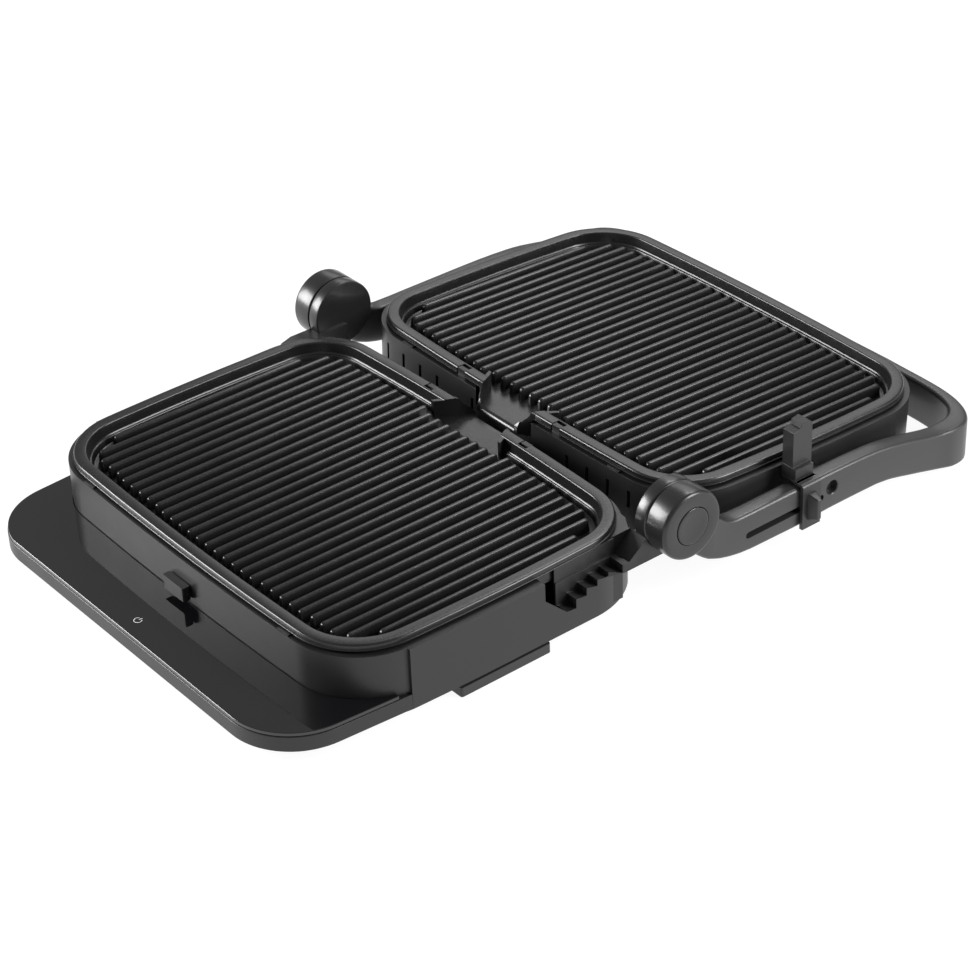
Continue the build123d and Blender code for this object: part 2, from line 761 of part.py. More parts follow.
# ------------------------------------------------------------ height slider
with BuildPart() as height_slider:
    # band over the arm, stem through the slot, keeper behind it
    with BuildSketch(Plane(origin=(0, 100.4, 0), x_dir=(1, 0, 0), z_dir=(0, -1, 0))):
        with BuildLine():
            Polyline((177.7, 45.4), (161.6, 45.4), (161.6, 43.4), (177.9, 43.4), (177.9, 14.3), (180.5, 14.3), (180.5, 42.6))
            RadiusArc((180.5, 42.6), (177.7, 45.4), -2.8)
        make_face()
    extrude(amount=-15)
    slab(ground, 26.5, 29.1, rect_face(162.9, 178.2, 102.0, 108.0))
    slab(ground, 22.7, 33.1, rect_face(162.6, 164.9, 100.4, 109.4))
    # fin with its base block
    slab(ground, 44.6, 53.0, rect_face(161.3, 173.4, 100.6, 115.2))
    with BuildSketch(x_plane(161.3, 0, 0)):
        with BuildLine():
            Polyline((101.3, 52), (116.7, 52), (116.7, 79.2), (113.0, 82.3), (108.0, 81.2), (107.2, 78.4), (101.3, 77.0), close=True)
        make_face()
    extrude(amount=8.8)
height_slider.part.label = "height_slider"
export_step(height_slider.part, "parts/height_slider.step")

with BuildPart() as slider_knob:
    with BuildSketch(x_plane(180.5, 107.7, 29.2)):
        Rectangle(6.8, 18.4)
    with BuildSketch(x_plane(187.2, 107.7, 29.2)):
        Rectangle(3.4, 14.0)
    loft(ruled=True)
    fillet(slider_knob.edges().filter_by(lambda e: e.center().X > 181.5), radius=0.9)
slider_knob.part.label = "slider_knob"
export_step(slider_knob.part, "parts/slider_knob.step")

# -------------------------------------------------------------- upper half
u_top = upper_rim + hous_rim
uc = upper_frame
far = upper_cy + hous_half_d
near = upper_cy - hous_half_d
with BuildPart() as upper_housing:
    slab(uc, cover_top, u_top, housing_outline(0, upper_cy, -1))
    slab(uc, cover_top - 1, u_top - 4.0, housing_outline(wall, upper_cy, -1), mode=Mode.SUBTRACT)
    # bosses of the arm pivots, kept clear of the plate
    for m in (1, -1):
        with BuildSketch(x_plane(m * 147.0, pivot_y, pivot_z)):
            Circle(6.6)
        extrude(amount=m * 10.5)
    slab(uc, u_top - 4.5, u_top + 1, plate_outline(3.6, upper_cy, -1), mode=Mode.SUBTRACT)
    for m in (1, -1):
        with BuildSketch(x_plane(m * 150.0, pivot_y, pivot_z)):
            Circle(4.0 + run)
        extrude(amount=m * 12, mode=Mode.SUBTRACT)
    # pads and lugs
    for x in (-100, 100):
        for y in (upper_cy - 110.2, upper_cy + 110.2):
            slab(uc, u_top - 0.5, u_top + 0.9, rect_face(x - 5, x + 5, y - 1.2, y + 1.2))
    for x in (-46.0, 46.0):
        slab(uc, u_top - 4.0, upper_rim - 0.3, rect_face(x - 3.4, x + 3.4, upper_cy - 110.0, upper_cy - 106.6))
    # spout cut in the hinge-side wall
    slab(
        uc,
        upper_rim + pan_bottom - 0.8,
        u_top + 6,
        polygon_face(
            [
                (-36, upper_cy - 100),
                (-30, upper_cy - 111),
                (-22, near - 4),
                (22, near - 4),
                (30, upper_cy - 111),
                (36, upper_cy - 100),
            ]
        ),
        mode=Mode.SUBTRACT,
    )
    # vents in the hinge-side wall
    for i in range(14):
        x = -122 + 18.2 * i
        if abs(x) > 52 or 30 < abs(x) < 40:
            slab(uc, -2.5, 9.0, rect_face(x - 1.3, x + 1.3, near - 2, near + (9 if abs(x) < 110 else 14)), mode=Mode.SUBTRACT)
    # window and shelf of the plate latch in the far wall
    slab(uc, -9.6, 2.2, rect_face(-6.6, 6.6, far - 6, far + 4), mode=Mode.SUBTRACT)
    slab(uc, -19.6, -17.4, rect_face(-14, 14, far - 10, far - 1.4))
    # screw bosses
    for x in (-1, 1):
        for y in (upper_cy - 40, upper_cy + 66):
            slab(uc, cover_top, 2, rect_face(min(x * 143, x * 157.2), max(x * 143, x * 157.2), y - 6, y + 6))
            slab(uc, cover_top - 1, -4, circle_face(1.5, (x * 149, y)), mode=Mode.SUBTRACT)
upper_housing.part.label = "upper_housing"
export_step(upper_housing.part, "parts/upper_housing.step")

with BuildPart() as upper_cover:
    slab(uc, cover_low, cover_low + 1.0, housing_outline(1.3, upper_cy, -1))
    slab(uc, cover_low + 0.9, cover_top, housing_outline(0, upper_cy, -1))
    slab(uc, cover_top, cover_top + 4, housing_outline(wall + 0.1, upper_cy, -1))
    slab(uc, cover_top, cover_top + 5, housing_outline(wall + 1.7, upper_cy, -1), mode=Mode.SUBTRACT)
    for x in (-1, 1):
        for y in (upper_cy - 40, upper_cy + 66):
            slab(uc, cover_top, cover_top + 5, rect_face(min(x * 142.5, x * 158), max(x * 142.5, x * 158), y - 6.4, y + 6.4), mode=Mode.SUBTRACT)
            slab(uc, cover_low - 1, cover_top + 1, circle_face(1.7, (x * 149, y)), mode=Mode.SUBTRACT)
    slab(uc, cover_top, cover_top + 5, rect_face(-15, 15, far - 11, far), mode=Mode.SUBTRACT)
    for x in (-90, 90):
        for y in (upper_cy - 50, upper_cy + 55):
            slab(uc, cover_top - 0.5, upper_rim + tube_z - tube_r - 3.1, circle_face(4.5, (x, y)))
upper_cover.part.label = "upper_cover"
export_step(upper_cover.part, "parts/upper_cover.step")

with BuildPart() as cover_screws:
    for x in (-1, 1):
        for y in (upper_cy - 40, upper_cy + 66):
            slab(uc, cover_low - 1.4, cover_low, circle_face(3.2, (x * 149, y)))
            slab(uc, cover_low, -5, circle_face(1.5, (x * 149, y)))
            slab(uc, cover_low - 2, cover_low - 0.8, rect_face(x * 149 - 2, x * 149 + 2, y - 0.4, y + 0.4), mode=Mode.SUBTRACT)
cover_screws.part.label = "cover_screws"
export_step(cover_screws.part, "parts/cover_screws.step")

with BuildPart() as upper_reflector:
    make_reflector(upper_plane, upper_cy, -1)
upper_reflector.part.label = "upper_reflector"
export_step(upper_reflector.part, "parts/upper_reflector.step")

with BuildPart() as upper_heating_element:
    make_heater(upper_plane, upper_cy, -1)
upper_heating_element.part.label = "upper_heating_element"
export_step(upper_heating_element.part, "parts/upper_heating_element.step")

with BuildPart() as upper_thermostat:
    make_thermostat(upper_plane, upper_cy, -1)
upper_thermostat.part.label = "upper_thermostat"
export_step(upper_thermostat.part, "parts/upper_thermostat.step")

with BuildPart() as upper_plate:
    make_plate(upper_plane, upper_cy, -1)
upper_plate.part.label = "upper_plate"
export_step(upper_plate.part, "parts/upper_plate.step")

with BuildPart() as upper_latch:
    slab(uc, -6.8, 2.6, rect_face(-10.3, 10.3, far + 0.5, far + 5.8, 1.0))
    slab(uc, -5.6, 1.4, rect_face(-6.0, 6.0, far - 5.1, far + 1.4))
    slab(uc, -7.2, 9.8, rect_face(-11.0, 11.0, far - 5.1, far - 3.5))
    slab(uc, 7.4, 9.8, rect_face(-8.0, 8.0, far - 6.7, far - 4.6))
upper_latch.part.label = "upper_latch"
export_step(upper_latch.part, "parts/upper_latch.step")

with BuildPart() as upper_latch_spring:
    with BuildSketch(across(uc, far - 6.2)):
        zigzag(0, 0, -17.4, -7.5, 12, 3, 0.6)
    extrude(amount=-2.4)
upper_latch_spring.part.label = "upper_latch_spring"
export_step(upper_latch_spring.part, "parts/upper_latch_spring.step")
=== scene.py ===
import json
import math

import bmesh
import bpy
import numpy as np
from mathutils import Matrix, Vector


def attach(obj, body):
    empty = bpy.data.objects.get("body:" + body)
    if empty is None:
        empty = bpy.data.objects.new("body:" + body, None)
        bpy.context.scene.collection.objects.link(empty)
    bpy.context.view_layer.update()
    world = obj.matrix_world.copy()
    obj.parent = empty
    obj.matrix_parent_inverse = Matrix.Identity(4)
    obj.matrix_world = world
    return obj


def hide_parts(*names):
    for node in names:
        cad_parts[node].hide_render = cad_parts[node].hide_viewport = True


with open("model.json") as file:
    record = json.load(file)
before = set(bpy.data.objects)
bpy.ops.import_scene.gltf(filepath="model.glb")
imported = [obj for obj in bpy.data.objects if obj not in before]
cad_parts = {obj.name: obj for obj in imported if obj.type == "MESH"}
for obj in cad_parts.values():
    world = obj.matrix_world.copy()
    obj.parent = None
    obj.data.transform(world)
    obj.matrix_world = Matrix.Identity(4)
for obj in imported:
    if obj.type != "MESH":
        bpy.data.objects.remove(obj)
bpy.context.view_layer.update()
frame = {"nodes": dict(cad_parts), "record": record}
nodes = frame["nodes"]
scene = bpy.context.scene
MM = 0.001

# ------------------------------------------------------------------ camera
LENS = 101.07
A, E, R = math.radians(52.12), math.radians(32.97), math.radians(-2.20)
back = Vector((math.sin(A) * math.cos(E), -math.cos(A) * math.cos(E), math.sin(E)))
right = Vector((math.cos(A), math.sin(A), 0))
up = back.cross(right)
right2 = math.cos(R) * right + math.sin(R) * up
up2 = -math.sin(R) * right + math.cos(R) * up
cam_data = bpy.data.cameras.new("camera")
cam_data.lens = LENS
cam_data.sensor_width = 36.0
cam_data.clip_start = 0.05
cam_data.clip_end = 50
cam = bpy.data.objects.new("camera", cam_data)
scene.collection.objects.link(cam)
cam.matrix_world = Matrix(
    (
        (right2.x, up2.x, back.x, 1.1427),
        (right2.y, up2.y, back.y, -0.8832),
        (right2.z, up2.z, back.z, 0.9361),
        (0, 0, 0, 1),
    )
)
scene.camera = cam

# ------------------------------------------------------------------ light
scene.view_settings.view_transform = "Standard"
scene.view_settings.look = "None"
world = bpy.data.worlds.new("studio")
scene.world = world
world.use_nodes = True
nt = world.node_tree
nt.nodes.clear()
w_out = nt.nodes.new("ShaderNodeOutputWorld")
w_mix = nt.nodes.new("ShaderNodeMixShader")
w_path = nt.nodes.new("ShaderNodeLightPath")
w_cam = nt.nodes.new("ShaderNodeBackground")
w_env = nt.nodes.new("ShaderNodeBackground")
w_cam.inputs[0].default_value = (1, 1, 1, 1)
w_cam.inputs[1].default_value = 1.0
w_env.inputs[0].default_value = (1, 1, 1, 1)
w_env.inputs[1].default_value = 0.30
nt.links.new(w_path.outputs["Is Camera Ray"], w_mix.inputs[0])
nt.links.new(w_env.outputs[0], w_mix.inputs[1])
nt.links.new(w_cam.outputs[0], w_mix.inputs[2])
nt.links.new(w_mix.outputs[0], w_out.inputs[0])


def area(name, loc, target, size, power, size_y=None):
    data = bpy.data.lights.new(name, "AREA")
    data.energy = power
    data.size = size
    if size_y:
        data.shape = "RECTANGLE"
        data.size_y = size_y
    ob = bpy.data.objects.new(name, data)
    scene.collection.objects.link(ob)
    ob.location = loc
    d = Vector(target) - Vector(loc)
    ob.rotation_euler = d.to_track_quat("-Z", "Y").to_euler()
    return ob


area("rear_right", (1.5, 1.0, 0.9), (0.15, 0.1, 0.03), 0.6, 36, 1.2)
area("front_left", (-1.5, -1.45, 0.72), (-0.05, -0.1, 0.04), 0.9, 62, 1.0)
area("back_top", (-0.5, 1.3, 1.7), (0, 0, 0.04), 1.4, 16, 0.4)
area("back_card", (-2.1, 2.05, 1.7), (0, 0.05, 0.05), 1.5, 7, 1.0)

# ------------------------------------------------------------------ floor
fm = bpy.data.meshes.new("floor")
fm.from_pydata([(-6, -6, 0), (6, -6, 0), (6, 6, 0), (-6, 6, 0)], [], [(0, 1, 2, 3)])
floor = bpy.data.objects.new("floor", fm)
scene.collection.objects.link(floor)
floor.location.z = -0.0004
fmat = bpy.data.materials.new("floor")
fmat.use_nodes = True
fb = fmat.node_tree.nodes["Principled BSDF"]
fb.inputs["Base Color"].default_value = (0.12, 0.12, 0.12, 1)
fb.inputs["Roughness"].default_value = 0.9
fb.inputs["Emission Color"].default_value = (1, 1, 1, 1)
fb.inputs["Emission Strength"].default_value = 0.93
fm.materials.append(fmat)

# --------------------------------------------------------------- materials
def surface(name, color, rough, slot=None, metallic=0.0, spec=0.5, coat=0.0, coat_rough=0.08,
            grain=1400.0, bump=0.12, depth=0.00006, tint=0.12, sheen=0.06, cloud=45.0, stretch=None):
    """Procedural finish: fine grain in relief and tone, slow clouds with the grain in gloss."""
    m = bpy.data.materials.new(name)
    m.use_nodes = True
    t = m.node_tree
    b = t.nodes["Principled BSDF"]
    b.inputs["Metallic"].default_value = metallic
    b.inputs["Specular IOR Level"].default_value = spec
    b.inputs["Coat Weight"].default_value = coat
    b.inputs["Coat Roughness"].default_value = coat_rough
    co = t.nodes.new("ShaderNodeTexCoord")
    mp = t.nodes.new("ShaderNodeMapping")
    t.links.new(co.outputs["Object"], mp.inputs[0])
    if stretch:
        mp.inputs["Scale"].default_value = stretch
    fine = t.nodes.new("ShaderNodeTexNoise")
    fine.inputs["Scale"].default_value = grain
    fine.inputs["Detail"].default_value = 2.0
    slow = t.nodes.new("ShaderNodeTexNoise")
    slow.inputs["Scale"].default_value = cloud
    slow.inputs["Detail"].default_value = 3.0
    t.links.new(mp.outputs[0], fine.inputs["Vector"])
    t.links.new(mp.outputs[0], slow.inputs["Vector"])
    mix = t.nodes.new("ShaderNodeMix")
    mix.data_type = "RGBA"
    t.links.new(fine.outputs[0], mix.inputs["Factor"])
    mix.inputs[6].default_value = tuple(c * (1 - tint) for c in color) + (1,)
    mix.inputs[7].default_value = tuple(min(1, c * (1 + tint)) for c in color) + (1,)
    t.links.new(mix.outputs[2], b.inputs["Base Color"])
    add = t.nodes.new("ShaderNodeMath")
    add.operation = "ADD"
    t.links.new(slow.outputs[0], add.inputs[0])
    t.links.new(fine.outputs[0], add.inputs[1])
    rg = t.nodes.new("ShaderNodeMapRange")
    rg.inputs["From Min"].default_value = 0.6
    rg.inputs["From Max"].default_value = 1.4
    rg.inputs["To Min"].default_value = max(0.01, rough - sheen)
    rg.inputs["To Max"].default_value = rough + sheen
    t.links.new(add.outputs[0], rg.inputs["Value"])
    t.links.new(rg.outputs[0], b.inputs["Roughness"])
    if bump:
        bp = t.nodes.new("ShaderNodeBump")
        bp.inputs["Strength"].default_value = bump
        bp.inputs["Distance"].default_value = depth
        t.links.new(fine.outputs[0], bp.inputs["Height"])
        t.links.new(bp.outputs[0], b.inputs["Normal"])
    return m


MATS = {
    "housing_black": surface("housing_black", (0.014, 0.014, 0.0145), 0.38, grain=2600, bump=0.10),
    "cover_black": surface("cover_black", (0.026, 0.026, 0.027), 0.55, grain=1800, bump=0.25),
    "foot_rubber": surface("foot_rubber", (0.018, 0.018, 0.018), 0.75, grain=1200, bump=0.35, spec=0.3),
    "deck_glass": surface("deck_glass", (0.006, 0.006, 0.007), 0.035, grain=300, bump=0.0, tint=0.05, sheen=0.012, coat=0.6, coat_rough=0.02),
    "circuit_board": surface("circuit_board", (0.02, 0.14, 0.05), 0.4, grain=500, bump=0.3, tint=0.4),
    "reflector_sheet": surface("reflector_sheet", (0.72, 0.72, 0.73), 0.24, metallic=1.0, grain=700, bump=0.1, tint=0.04, stretch=(1, 12, 1)),
    "heater_tube": surface("heater_tube", (0.16, 0.14, 0.12), 0.5, metallic=1.0, grain=500, bump=0.3, tint=0.3),
    "plated_steel": surface("plated_steel", (0.58, 0.58, 0.59), 0.28, metallic=1.0, grain=900, bump=0.15, tint=0.08),
    "hinge_black": surface("hinge_black", (0.014, 0.014, 0.0145), 0.30, grain=2800, bump=0.06, coat=0.1),
    "frame_black": surface("frame_black", (0.029, 0.029, 0.030), 0.36, grain=2800, bump=0.06, coat=0.1),
    "grip_black": surface("grip_black", (0.018, 0.018, 0.0185), 0.38, grain=2600, bump=0.08),
    "tray_black": surface("tray_black", (0.027, 0.027, 0.028), 0.42, grain=2200, bump=0.15),
    "nonstick_plate": surface("nonstick_plate", (0.011, 0.011, 0.0115), 0.26, grain=3400, bump=0.10, tint=0.2, sheen=0.05, spec=0.5),
    "ink_white": surface("ink_white", (0.78, 0.78, 0.78), 0.5, grain=2000, bump=0.05, tint=0.05),
}
SLOT_OF = {s["node"]: s["material_slot"] for s in frame["record"]["subparts"]}
BODY_OF = {n: b for b, group in frame["record"]["behaviour"]["bodies"].items() for n in group}


# -------------------------------------------------------------- mesh helpers
def new_object(name, verts, faces, mat, angle=32.0, matrix=None):
    me = bpy.data.meshes.new(name)
    me.from_pydata([(x * MM, y * MM, z * MM) for x, y, z in verts], [], faces)
    me.validate()
    bm = bmesh.new()
    bm.from_mesh(me)
    bmesh.ops.recalc_face_normals(bm, faces=bm.faces)
    bm.to_mesh(me)
    bm.free()
    ob = bpy.data.objects.new(name, me)
    scene.collection.objects.link(ob)
    me.materials.append(MATS[mat])
    me.shade_smooth()
    me.set_sharp_from_angle(angle=math.radians(angle))
    if matrix is not None:
        me.transform(matrix)
    return ob


class Shape:
    """Vertices and faces gathered from several closed forms."""

    def __init__(self):
        self.v, self.f = [], []

    def loft(self, rings, cap0=True, cap1=True, closed=True):
        n = len(rings[0])
        o = len(self.v)
        for r in rings:
            assert len(r) == n
            self.v += [tuple(p) for p in r]
        for k in range(len(rings) - 1):
            for j in range(n if closed else n - 1):
                a, b = o + k * n + j, o + k * n + (j + 1) % n
                self.f.append((a, b, b + n, a + n))
        if cap0:
            self.f.append(tuple(range(o + n - 1, o - 1, -1)))
        if cap1:
            e = o + (len(rings) - 1) * n
            self.f.append(tuple(range(e, e + n)))
        return self

    def wrap(self, rings):
        """Loft that closes on itself along its length."""
        n = len(rings[0])
        o = len(self.v)
        for r in rings:
            self.v += [tuple(p) for p in r]
        m = len(rings)
        for k in range(m):
            for j in range(n):
                a, b = o + k * n + j, o + k * n + (j + 1) % n
                c, d = o + ((k + 1) % m) * n + (j + 1) % n, o + ((k + 1) % m) * n + j
                self.f.append((a, b, c, d))
        return self

    def prism(self, pts, z0, z1):
        return self.loft([[(x, y, z0) for x, y in pts], [(x, y, z1) for x, y in pts]])


def revolve_x(shape, profile, cy, cz, n=96, closed=False):
    """Rings of (x, r) turned about the X line through cy, cz; ends closed."""
    rings = []
    for x, r in profile:
        rings.append([(x, cy + r * math.cos(2 * math.pi * k / n), cz + r * math.sin(2 * math.pi * k / n)) for k in range(n)])
    if closed:
        return shape.wrap(rings)
    return shape.loft(rings)


def circle3(a, b, c):
    ax, ay, bx, by, cx, cy = *a, *b, *c
    d = 2 * (ax * (by - cy) + bx * (cy - ay) + cx * (ay - by))
    ux = ((ax**2 + ay**2) * (by - cy) + (bx**2 + by**2) * (cy - ay) + (cx**2 + cy**2) * (ay - by)) / d
    uy = ((ax**2 + ay**2) * (cx - bx) + (bx**2 + by**2) * (ax - cx) + (cx**2 + cy**2) * (bx - ax)) / d
    return np.array((ux, uy)), math.hypot(ax - ux, ay - uy)


def outline(hw, hd, rf, rr, ns=24, nc=14):
    """Bowed outline with tangent corner rounds, control side at -Y, anticlockwise from the front left."""
    xc = hw - 3.4
    yf, yr = -(hd - 4.0), hd - 4.4
    sides = [
        circle3((-xc, yf), (0, -hd), (xc, yf)),
        circle3((xc, yf), (hw, 0), (xc, yr)),
        circle3((xc, yr), (0, hd), (-xc, yr)),
        circle3((-xc, yr), (-hw, 0), (-xc, yf)),
    ]
    corners = [((xc, yf), rf), ((xc, yr), rr), ((-xc, yr), rr), ((-xc, yf), rf)]
    fil = []
    for k in range(4):
        (c1, r1), (c2, r2) = sides[k], sides[(k + 1) % 4]
        (px, py), r = corners[k]
        a, b = r1 - r, r2 - r
        d = np.linalg.norm(c2 - c1)
        x = (d * d + a * a - b * b) / (2 * d)
        h = math.sqrt(max(a * a - x * x, 0))
        u = (c2 - c1) / d
        v = np.array((-u[1], u[0]))
        best = min((c1 + u * x + v * h * s for s in (1, -1)), key=lambda q: np.hypot(q[0] - px, q[1] - py))
        t1 = c1 + (best - c1) * r1 / a
        t2 = c2 + (best - c2) * r2 / b
        fil.append((best, r, t1, t2))

    def arc(c, p, q, n):
        a0 = math.atan2(p[1] - c[1], p[0] - c[0])
        a1 = math.atan2(q[1] - c[1], q[0] - c[0])
        while a1 < a0:
            a1 += 2 * math.pi
        r = math.hypot(p[0] - c[0], p[1] - c[1])
        return [(c[0] + r * math.cos(a0 + (a1 - a0) * i / n), c[1] + r * math.sin(a0 + (a1 - a0) * i / n)) for i in range(n)]

    out = []
    for k in range(4):
        c, r = sides[k]
        out += arc(c, fil[(k - 1) % 4][3], fil[k][2], ns)
        out += arc(fil[k][0], fil[k][2], fil[k][3], nc)
    return out


def plate_ring(inset, z):
    return [(x, y, z) for x, y in outline(155.0 - inset, 111.3 - inset, max(45.7 - inset, 8), max(42.1 - inset, 8))]


def house_ring(inset, z):
    return [(x, y, z) for x, y in outline(159.0 - inset, 113.7 - inset, 48.9 - inset, 45.3 - inset)]


def quarter(i0, z0, r, kind, n=5):
    """Rounded edge in (inset, z): 'out' turns from the wall to the top, 'in' from the top down a wall."""
    pts = []
    for k in range(n + 1):
        a = math.pi / 2 * k / n
        if kind == "out":
            pts.append((i0 + r - r * math.cos(a), z0 - r + r * math.sin(a)))
        else:
            pts.append((i0 + r * math.sin(a), z0 - r + r * math.cos(a)))
    return pts


def boolean(ob, cutter, op="DIFFERENCE"):
    mod = ob.modifiers.new("b", "BOOLEAN")
    mod.operation = op
    mod.solver = "EXACT"
    mod.object = cutter
    dg = bpy.context.evaluated_depsgraph_get()
    me = bpy.data.meshes.new_from_object(ob.evaluated_get(dg))
    ob.modifiers.remove(mod)
    old = ob.data
    ob.data = me
    bpy.data.meshes.remove(old)
    cd = cutter.data
    bpy.data.objects.remove(cutter)
    bpy.data.meshes.remove(cd)
    return ob


def resharpen(ob, angle=32.0):
    ob.data.shade_smooth()
    ob.data.set_sharp_from_angle(angle=math.radians(angle))


# ------------------------------------------------------------------- plates
def ridge_half_length(i):
    i = abs(i)
    return 94.6 if i <= 5 else 93.0 if i <= 10 else 91.0 if i <= 13 else 86.3 if i == 14 else 70.3


def plate_mesh(name):
    prof = [(5.2, -14.9), (5.2, -4.15), (0.5, -4.15), (0.0, -4.0), (0.0, -3.6), (0.25, -3.35), (0.6, -3.2), (0.6, -1.9)]
    prof += quarter(0.6, 0.0, 1.3, "out", 6)
    prof += [(4.0, 0.02)]
    prof += quarter(7.4, 0.0, 0.9, "in", 5)
    prof += [(8.9, -6.4), (9.1, -7.2), (9.6, -7.75), (10.4, -7.95), (10.75, -8.4), (11.3, -11.0), (11.7, -11.6), (12.4, -11.9)]
    s = Shape().loft([plate_ring(i, z) for i, z in prof])
    body = new_object(name, s.v, s.f, "nonstick_plate")
    H = 111.3
    # spout: block, then passage with curved wings
    sp = Shape().loft([[(-34, H - 14, z), (34, H - 14, z), (27, H - 0.5, z), (23.5, H + a, z), (19.3, H + b, z), (-19.3, H + b, z), (-23.5, H + a, z), (-27, H - 0.5, z)]
                       for z, a, b in ((-14.9, 3.0, 7.3), (-10.6, 3.0, 7.3), (-9.4, 2.95, 6.8), (-7.0, 2.6, 5.4), (-4.0, 1.5, 3.2), (-1.6, 0.3, 1.0), (-0.5, -0.3, -0.1))])
    boolean(body, new_object("c", sp.v, sp.f, "nonstick_plate"), "UNION")
    pas = [(-31.5, H - 14.0), (31.5, H - 14.0), (28.6, H - 9.5), (26.2, H - 5.5), (24.6, H - 2.0), (23.3, H + 1.0), (20.5, H + 4.5), (16.5, H + 7.0), (16.5, H + 9), (-16.5, H + 9), (-16.5, H + 7.0), (-20.5, H + 4.5), (-23.3, H + 1.0), (-24.6, H - 2.0), (-26.2, H - 5.5), (-28.6, H - 9.5)]
    ps = Shape().prism(pas, -11.9, 2)
    boolean(body, new_object("c", ps.v, ps.f, "nonstick_plate"))
    lip = [(H + 4.5, -11.9)] + [(H + 4.5 + 2.9 * math.sin(math.pi / 2 * k / 8), -14.8 + 2.9 * math.cos(math.pi / 2 * k / 8)) for k in range(1, 9)] + [(H + 9, -14.8), (H + 9, -10.9), (H + 4.5, -10.9)]
    lp = Shape().loft([[(x, y, z) for y, z in lip] for x in (-16.6, 16.6)])
    boolean(body, new_object("c", lp.v, lp.f, "nonstick_plate"))
    for x in (-46, 46):
        lug = Shape().prism([(x - 3.9, H - 7.2), (x + 3.9, H - 7.2), (x + 3.9, H + 2), (x - 3.9, H + 2)], -5.2, 2)
        boolean(body, new_object("c", lug.v, lug.f, "nonstick_plate"))
    # ridges
    r = Shape()
    sect = [(-2.85, -12.3), (-2.75, -11.7), (-2.5, -11.0), (-1.78, -5.5), (-1.55, -4.85), (-1.05, -4.45), (-0.4, -4.35), (0.4, -4.35), (1.05, -4.45), (1.55, -4.85), (1.78, -5.5), (2.5, -11.0), (2.75, -11.7), (2.85, -12.3)]
    for i in range(-15, 16):
        L = ridge_half_length(i)
        L2 = L - (3.0 if -3 <= i <= 4 else 0.0)
        x = i * 9.042
        rings = []
        ends = ((0.9, 0.45, 3.4), (0.75, 0.62, 2.3), (0.4, 0.8, 1.2), (-0.2, 0.93, 0.45), (-1.0, 1.0, 0.1), (-2.0, 1.0, 0.0))
        for y, sx, drop in [(-L - e, k, d) for e, k, d in ends] + [(L2 + e, k, d) for e, k, d in reversed(ends)]:
            rings.append([(x + px * sx, y, pz if pz < -10.5 else pz - drop * (pz + 10.5) / 6.15) for px, pz in sect])
        r.loft(rings)
    rid = new_object(name + "_r", r.v, r.f, "nonstick_plate")
    bm = bmesh.new()
    bm.from_mesh(body.data)
    bm.from_mesh(rid.data)
    bm.to_mesh(body.data)
    bm.free()
    rd = rid.data
    bpy.data.objects.remove(rid)
    bpy.data.meshes.remove(rd)
    resharpen(body, 30)
    return body


T = math.radians(2.5)
PIVOT = Matrix.Translation((0, 0.1281, 0.0316)) @ Matrix.Rotation(-T, 4, "X")
UPPER = PIVOT @ Matrix.Translation((0, 0.0032, 0.0223)) @ Matrix.Rotation(math.pi, 4, "Z")
LOWER = Matrix.Translation((0, -0.1089, 0.0554))

lower_plate = plate_mesh("ribbed_plate_lower")
upper_plate = lower_plate.copy()
upper_plate.data = lower_plate.data.copy()
upper_plate.name = "ribbed_plate_upper"
scene.collection.objects.link(upper_plate)
lower_plate.data.transform(LOWER)
upper_plate.data.transform(UPPER)
for ob, node in ((lower_plate, "lower_plate"), (upper_plate, "upper_plate")):
    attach(ob, BODY_OF[node])
    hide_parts(node)


# ---------------------------------------------------------------- handle frame
def spline(points, n):
    """Catmull-Rom through the points, n samples per span."""
    p = [np.array(q, float) for q in points]
    p = [2 * p[0] - p[1]] + p + [2 * p[-1] - p[-2]]
    out = []
    for i in range(1, len(p) - 2):
        for k in range(n):
            t = k / n
            out.append(0.5 * ((2 * p[i]) + (-p[i - 1] + p[i + 1]) * t + (2 * p[i - 1] - 5 * p[i] + 4 * p[i + 1] - p[i + 2]) * t * t + (-p[i - 1] + 3 * p[i] - 3 * p[i + 1] + p[i + 2]) * t**3))
    out.append(p[-2])
    return out


def resample(pts, n, power=1.0):
    pts = np.array(pts)
    d = np.concatenate([[0], np.cumsum(np.linalg.norm(np.diff(pts, axis=0), axis=1))])
    t = np.linspace(0, 1, n) ** power * d[-1]
    return np.stack([np.interp(t, d, pts[:, 0]), np.interp(t, d, pts[:, 1])], axis=1)


TOPS = [(12, 43.9), (16, 44.7), (19.3, 46.6), (22, 49.3), (24.2, 53.5), (25.5, 57.5), (28, 58.5), (31, 58.0), (32.5, 56.6), (33.3, 54.5), (34.2, 52.8), (35.2, 51.3), (37.4, 49.0), (40.7, 46.4), (43, 45.1), (45.5, 44.1), (48, 43.5), (50.4, 43.1), (62.0, 42.8), (80, 42.8), (135.0, 42.6), (150, 42.1), (160, 41.7), (170, 40.8), (178, 39.7), (186, 38.2), (195, 36.4), (204, 34.2), (213, 32.0), (222, 30.3), (232, 29.6), (240.0, 29.5), (269.0, 29.5)]
LOWS = [(12, 38.0), (15.0, 35.0), (19.6, 30.7), (23.6, 27.3), (28.4, 23.9), (36.4, 20.6), (44.4, 18.4), (52.0, 17.0), (59.4, 16.1), (101.4, 15.3), (123.4, 16.3), (144, 16.3), (168, 15.9), (178.6, 14.7), (187.5, 12.7), (196.5, 10.4), (205.6, 8.2), (215, 5.8), (224.0, 3.6), (236.0, 0.95), (246.0, 0.05), (269.0, 0.05)]


def height(tab, y):
    xs = [a for a, _ in tab]
    zs = [b for _, b in tab]
    return float(np.interp(y, xs, zs))


